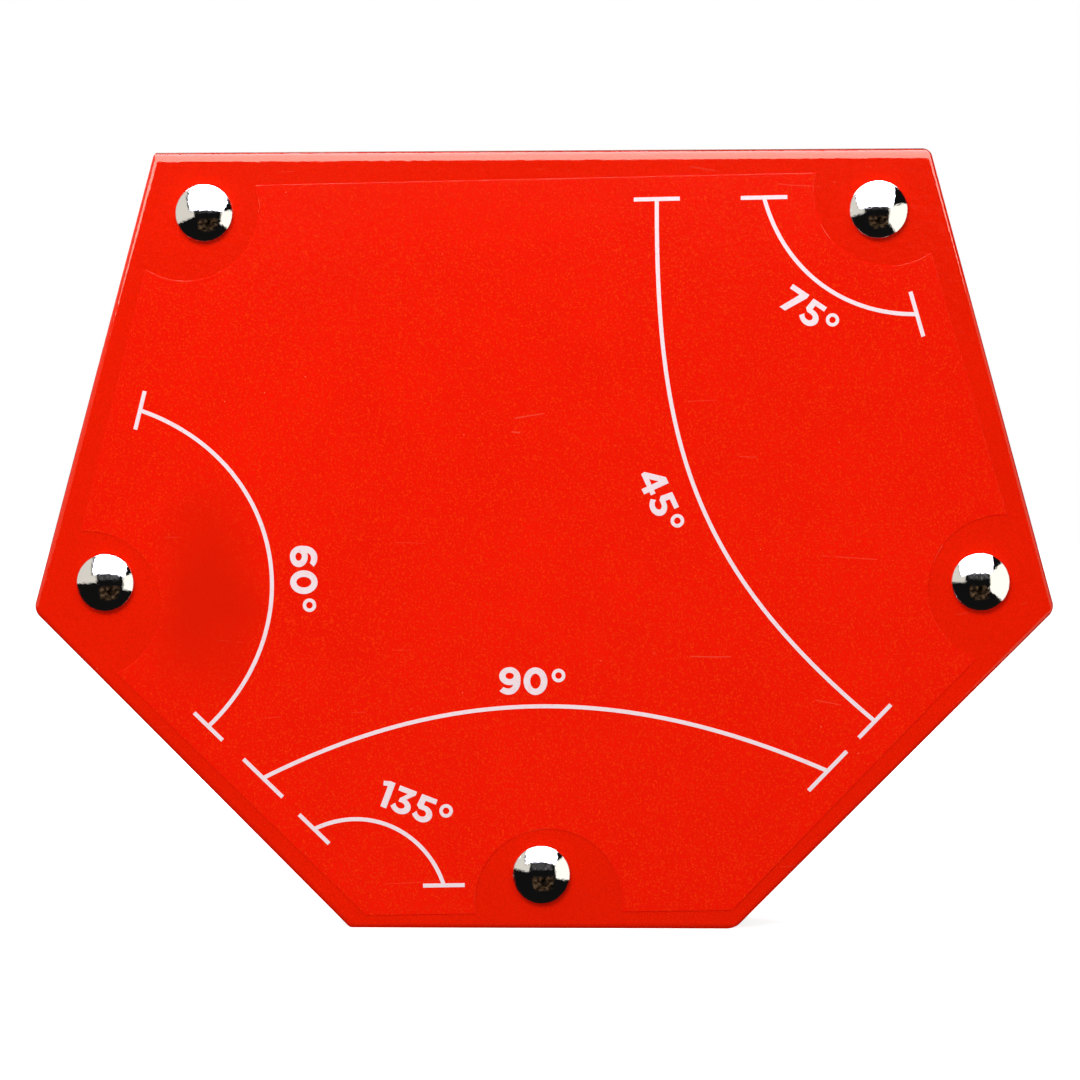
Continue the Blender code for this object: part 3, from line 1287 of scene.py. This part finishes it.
ANGLE_MARKS = (
    AngleMark(
        75, (Bar((30.6, 96.5), 0.0), Bar((50.5, 80.65), -75.0)), ((33.0, 86.8), (40.8, 80.7)),
        6.15, (36.43, 81.28), -35.2, 3.5,
    ),
    AngleMark(
        45, (Bar((16.4, 96.6), 0.0), Bar((44.0, 26.9), 45.0)), ((15.7, 64.6), (20.0, 47.8)),
        6.1, (16.29, 56.73), -66.3,
    ),
    AngleMark(
        90, (Bar((-37.5, 20.6), -45.0), Bar((37.65, 20.4), 45.0)), ((-11.0, 33.4), (12.6, 31.8)),
        7.27, (-1.32, 32.94), -1.0,
    ),
    AngleMark(
        60, (Bar((-53.05, 69.95), 75.0), Bar((-44.7, 27.6), -45.0)), ((-34.2, 63.1), (-29.9, 41.2)),
        5.27, (-31.53, 47.07), -91.15,
    ),
    AngleMark(
        135, (Bar((-30.8, 13.7), -45.0), Bar((-13.6, 5.95), 0.0)), ((-23.2, 17.2), (-15.7, 12.9)),
        5.56, (-17.24, 16.70), -21.8,
    ),
)


# ---- Rivets and core ----


@dataclass(frozen=True)
class TubularRivet:
    """A semi-tubular rivet: a domed head in front, its hollow end rolled over behind."""

    head_radius: float = 3.8 * MM
    head_land: float = 0.35 * MM
    head_height: float = 2.0 * MM
    shank_radius: float = 2.0 * MM
    lip_radius: float = 3.3 * MM
    lip_height: float = 1.2 * MM
    bore_radius: float = 1.3 * MM
    bore_depth: float = 6.0 * MM
    rim_break: float = 0.10 * MM
    rim_steps: int = 3
    end_roll: float = 0.90 * MM
    end_steps: int = 8
    turns: int = 96

    def build_all(self, material: Material) -> None:
        """Model one rivet and set a copy in each place.

        Args:
            material: The plating.
        """
        pattern = self._pattern()
        for name in RIVET_NAMES:
            node = f"rivet_{name}"
            middle = node_middle(node)
            copy = duplicate(pattern, f"{node}_plated", Vector((middle.x, 0.0, middle.z)))
            hand_over(copy, material, [node])
        bpy.data.objects.remove(pattern, do_unlink=True)

    def _pattern(self) -> Piece:
        """Turn one rivet about the Y axis.

        Returns:
            The rivet.
        """
        low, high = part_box("rivet_bottom")
        crown = self.head_height - self.head_land
        dome = (self.head_radius**2 + crown**2) / (2 * crown)
        clear_selection()
        bpy.ops.mesh.primitive_uv_sphere_add(
            segments=self.turns,
            ring_count=self.turns,
            radius=dome,
            location=(0.0, low.y + dome, 0.0),
            rotation=(math.pi / 2, 0.0, 0.0),
        )
        rivet = new_piece("rivet_pattern")
        rim = low.y + crown
        seat = low.y + self.head_height
        with edit(rivet):
            bpy.ops.mesh.bisect(
                plane_co=(0.0, rim, 0.0),
                plane_no=(0.0, 1.0, 0.0),
                use_fill=True,
                clear_outer=True,
                threshold=MICRON,
            )
            self._grow(rivet, rim, seat - rim)
            self._narrow(rivet, seat, self.head_radius - self.shank_radius)
            flare = high.y - self.lip_height
            self._grow(rivet, seat, flare - seat)
            self._grow(rivet, flare, self.rim_break)
            spread = self.lip_radius / self.shank_radius
            self._pick_end(rivet, flare + self.rim_break)
            bpy.ops.transform.resize(value=(spread, 1.0, spread), center_override=(0.0, 0.0, 0.0))
            self._grow(rivet, flare + self.rim_break, self.lip_height - self.rim_break)
            self._narrow(rivet, high.y, self.lip_radius - self.bore_radius)
            self._grow(rivet, high.y, -self.bore_depth)
            self._roll(rivet, high.y, self.end_roll, self.end_steps)
            for depth in (seat, rim):
                self._roll(rivet, depth, self.rim_break, self.rim_steps, self.head_radius)
            bpy.ops.mesh.select_all(action="SELECT")
            bpy.ops.mesh.normals_make_consistent(inside=False)
        smooth(rivet)
        return rivet

    @staticmethod
    def _pick_end(rivet: Piece, depth: float) -> None:
        """Select the flat end face that lies at a depth.

        Args:
            rivet: The rivet in edit mode.
            depth: Where the face lies along Y.
        """

        def at_end(middle: Vector, normal: Vector) -> bool:
            """Say whether a face lies square on the axis at the depth."""
            level = abs(middle.y - depth) < NEAR and abs(normal.y) > 0.99
            return level and middle.xz.length < NEAR

        choose(rivet, Part.FACE, at_end)

    def _grow(self, rivet: Piece, depth: float, length: float) -> None:
        """Extrude the end face at a depth along Y."""
        self._pick_end(rivet, depth)
        bpy.ops.mesh.extrude_region_move(TRANSFORM_OT_translate={"value": (0.0, length, 0.0)})

    def _narrow(self, rivet: Piece, depth: float, step: float) -> None:
        """Inset the end face at a depth."""
        self._pick_end(rivet, depth)
        bpy.ops.mesh.inset(thickness=step)

    @staticmethod
    def _roll(rivet: Piece, depth: float, width: float, steps: int, radius: float = 0.0) -> None:
        """Round the circular edges at a depth, or only the one of a given radius.

        Args:
            rivet: The rivet in edit mode.
            depth: Where the edges lie along Y.
            width: How wide they are rounded.
            steps: How many steps the rounding takes.
            radius: The edge's radius, or nothing for all.
        """

        def on_ring(point: Vector) -> bool:
            """Say whether a point lies on a ring that is wanted."""
            near = abs(point.y - depth) < NEAR
            return near and (not radius or abs(point.xz.length - radius) < 10 * NEAR)

        def along_ring(start: Vector, end: Vector) -> bool:
            """Say whether an edge runs round the ring."""
            level = on_ring(start) and on_ring(end)
            return level and abs(start.xz.length - end.xz.length) < 10 * NEAR

        choose(rivet, Part.EDGE, along_ring)
        bpy.ops.mesh.bevel(offset=width, segments=steps, affect="EDGES")


@dataclass(frozen=True)
class CoreDressing:
    """The moulded core frame with its parting line, and the parts that it holds."""

    wall_inset: float = 1.2 * MM
    seam_proud: float = 0.12 * MM
    seam_width: float = 0.5 * MM
    seam_depth: float = 0.6 * MM

    def build(self, plastic: Material, sleeve: Material, ferrite: Material) -> None:
        """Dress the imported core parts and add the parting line.

        Args:
            plastic: The core frame's finish.
            sleeve: The spacer sleeves' finish.
            ferrite: The magnets' finish.
        """
        finishes = {"core": plastic, "spacer": sleeve, "magnet": ferrite}
        for name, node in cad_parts.items():
            material = finishes.get(name.split("_")[0])
            if material:
                node.data.materials.clear()
                node.data.materials.append(material)
                LOG.info("%s: packed node, %s", name, material.name)
        self._parting_line(plastic)

    def _parting_line(self, plastic: Material) -> None:
        """Run a thin raised moulding line round the core's wall.

        Args:
            plastic: The core's finish.
        """
        middle = node_middle("core_frame").y
        front, rear = middle - self.seam_width / 2, middle + self.seam_width / 2
        seam = OUTLINE.slab("core_parting_line", self.wall_inset - self.seam_proud, front, rear)
        heart = OUTLINE.slab("seam_heart", self.wall_inset + self.seam_depth, front - MM, rear + MM)
        finish_with(seam, "BEVEL", width=0.09 * MM, segments=3, limit_method="ANGLE")
        combine(seam, heart, Blend.CUT)
        smooth(seam)
        hand_over(seam, plastic)


# ---- Studio ----


@dataclass(frozen=True)
class SoftLight:
    """A soft rectangular light that falls on surfaces and isn't seen in reflections."""

    name: str
    middle: Place
    towards: Place
    width: float
    height: float
    radiance: float

    def build(self) -> None:
        """Hang the light."""
        light = bpy.data.lights.new(self.name, "AREA")
        light.shape = "RECTANGLE"
        light.size, light.size_y = self.width, self.height
        light.energy = self.radiance * math.pi * self.width * self.height
        lamp = bpy.data.objects.new(self.name, light)
        bpy.context.scene.collection.objects.link(lamp)
        lamp.location = self.middle
        aim = Vector(self.towards) - Vector(self.middle)
        lamp.rotation_euler = aim.to_track_quat("-Z", "Y").to_euler()
        lamp.visible_camera = False
        lamp.visible_glossy = False


@dataclass(frozen=True)
class MirrorCard:
    """A bright card that is only seen in reflections, as a softbox or white board is."""

    name: str
    middle: Place
    turn: Place
    width: float
    height: float
    radiance: float
    colour: Colour = WHITE
    mottled: float = 0.0
    blotches: float = 11.0

    def build(self) -> None:
        """Stand the card in its place."""
        clear_selection()
        bpy.ops.mesh.primitive_plane_add(
            size=1.0,
            location=self.middle,
            rotation=tuple(math.radians(angle) for angle in self.turn),
        )
        bpy.context.object.scale = (self.width, self.height, 1.0)
        card = new_piece(self.name)
        coat = Coat(self.name, tuple(value * (1.0 - self.mottled) for value in self.colour))
        cloud = coat.noise(Scale=self.blotches, Detail=8.0, Roughness=0.7)
        coat.lay(coat.ramp(cloud, 0.46, 0.76), 1.0, self.colour)
        coat.shine(Base_Color=BLACK, Roughness=1.0, Specular_IOR_Level=0.0)
        coat.shine(Emission_Color=coat.colour, Emission_Strength=self.radiance)
        card.data.materials.append(coat.material)
        for ray in ("camera", "diffuse", "transmission", "volume_scatter", "shadow"):
            setattr(card, f"visible_{ray}", False)


@dataclass(frozen=True)
class Viewpoint:
    """Where the camera stands: almost square on, a little to the right."""

    target: Place = (-0.59 * MM, 0.0, 51.58 * MM)
    distance: float = 0.6
    azimuth: float = math.radians(2.94)
    elevation: float = math.radians(0.63)
    roll: float = math.radians(-0.11)
    lens: float = 148.1
    sensor: float = 36.0

    def build(self) -> None:
        """Set up the camera."""
        camera = bpy.data.cameras.new("studio_camera")
        camera.lens = self.lens
        camera.sensor_width = self.sensor
        camera.clip_start = 0.01
        stand = bpy.data.objects.new("studio_camera", camera)
        bpy.context.scene.collection.objects.link(stand)
        back = Vector(
            (
                math.sin(self.azimuth) * math.cos(self.elevation),
                -math.cos(self.azimuth) * math.cos(self.elevation),
                math.sin(self.elevation),
            )
        )
        stand.location = Vector(self.target) + back * self.distance
        level = back.to_track_quat("Z", "Y")
        stand.rotation_mode = "QUATERNION"
        stand.rotation_quaternion = level @ Quaternion((0.0, 0.0, 1.0), self.roll)
        bpy.context.scene.camera = stand


@dataclass(frozen=True)
class Studio:
    """A white room: a pale floor, soft lights and dark surroundings in reflections."""

    floor_size: float = 8.0
    floor_glow: float = 0.80
    backdrop: float = 1.0
    fill: float = 0.56
    reflected: float = 0.006
    lights: tuple[SoftLight, ...] = (
        SoftLight("key_light", (-0.12, -0.46, 0.42), (-0.01, 0.0, 0.07), 0.36, 0.30, 7.1),
        SoftLight("rear_light", (-0.30, 0.75, 0.45), (0.0, 0.0, 0.05), 0.60, 0.50, 4.6),
    )
    cards: tuple[MirrorCard, ...] = (
        MirrorCard(
            "softbox", (-0.004, -0.030, 0.2635), (46.4, 0.0, 0.0), 0.344, 0.377, 10.4,
            colour=(0.84, 0.86, 1.0, 1.0),
        ),
        MirrorCard("softbox_rim", (-0.012, -0.0315, 0.265), (46.4, 0.0, 0.0), 0.400, 0.395, 0.0),
        MirrorCard(
            "left_board", (-0.222, -0.10, 0.240), (0.0, 90.0, 0.0), 0.40, 0.40, 0.80,
            colour=(1.0, 0.95, 0.87, 1.0),
        ),
        MirrorCard(
            "right_board", (0.153, -0.085, 0.045), (0.0, 90.0, 0.0), 0.16, 0.178, 1.30,
            colour=(1.0, 0.97, 0.88, 1.0),
        ),
        MirrorCard(
            "haze_board", (0.02, -0.50, 0.285), (90.0, 0.0, 0.0), 0.60, 0.33, 0.50,
            colour=(1.0, 0.98, 1.0, 1.0), mottled=0.95, blotches=16.0,
        ),
        MirrorCard(
            "camera_stand", (0.06, -0.50, -0.33), (90.0, 0.0, 0.0), 0.62, 0.54, 0.42,
            colour=(1.0, 0.60, 0.34, 1.0), mottled=1.0, blotches=8.0,
        ),
        MirrorCard("rear_softbox", (-0.30, 0.45, 0.34), (-50.0, 0.0, 40.0), 0.40, 0.34, 3.5),
    )

    def build(self) -> None:
        """Set up the floor, the surroundings, the lights and the camera."""
        self._floor()
        self._surroundings()
        for lamp_or_card in (*self.lights, *self.cards):
            lamp_or_card.build()
        Viewpoint().build()
        bpy.context.scene.view_settings.view_transform = "Standard"

    def _floor(self) -> None:
        """Lay a pale floor under the holder."""
        clear_selection()
        bpy.ops.mesh.primitive_plane_add(size=self.floor_size, location=(0.0, 0.0, CAD_BOX[0].z))
        floor = new_piece("studio_floor")
        coat = Coat("pale_floor", (0.86, 0.86, 0.86, 1.0))
        coat.lay(coat.noise(Scale=6.0), 1.0, (0.90, 0.90, 0.90, 1.0))
        coat.shine(Base_Color=coat.colour, Roughness=0.8)
        coat.shine(Emission_Color=WHITE, Emission_Strength=self.floor_glow)
        floor.data.materials.append(coat.material)
        floor.visible_glossy = False
        floor.visible_diffuse = False

    def _surroundings(self) -> None:
        """Light the room white, and keep it dark in reflections."""
        world = bpy.data.worlds.new("white_room")
        world.use_nodes = True
        bpy.context.scene.world = world
        board = Board(world.node_tree)
        path = world.node_tree.nodes.new("ShaderNodeLightPath").outputs
        seen = board.math("MULTIPLY", path["Is Camera Ray"], self.backdrop)
        lit = board.math("MULTIPLY", path["Is Diffuse Ray"], self.fill)
        glow = board.math("MAXIMUM", board.math("MAXIMUM", seen, lit), self.reflected)
        board.feed(world.node_tree.nodes["Background"], {"Color": WHITE, "Strength": glow})


# ---- Assembly ----


def main() -> None:
    """Build every sub-assembly in order."""
    logging.basicConfig(level=logging.INFO, format="%(name)s %(message)s")
    effects = Effects()
    for plate in (
        PressedPlate("front_plate", Side.FRONT, Slot.FRONT_PAINT),
        PressedPlate("rear_plate", Side.REAR, Slot.REAR_PAINT),
    ):
        plate.build(RedPaint(f"{plate.node}_enamel", crest=plate.crest).make(effects))
    LabelFilm().build(RedFilm().make(effects))
    ink = MarkInk().make(effects)
    for mark in ANGLE_MARKS:
        mark.build(ink)
    TubularRivet().build_all(BrightPlating().make(effects))
    CoreDressing().build(
        MOULDED_PLASTIC.make(effects), TURNED_SLEEVE.make(effects), SINTERED_FERRITE.make(effects)
    )
    Studio().build()


if __name__ == "__main__":
    main()
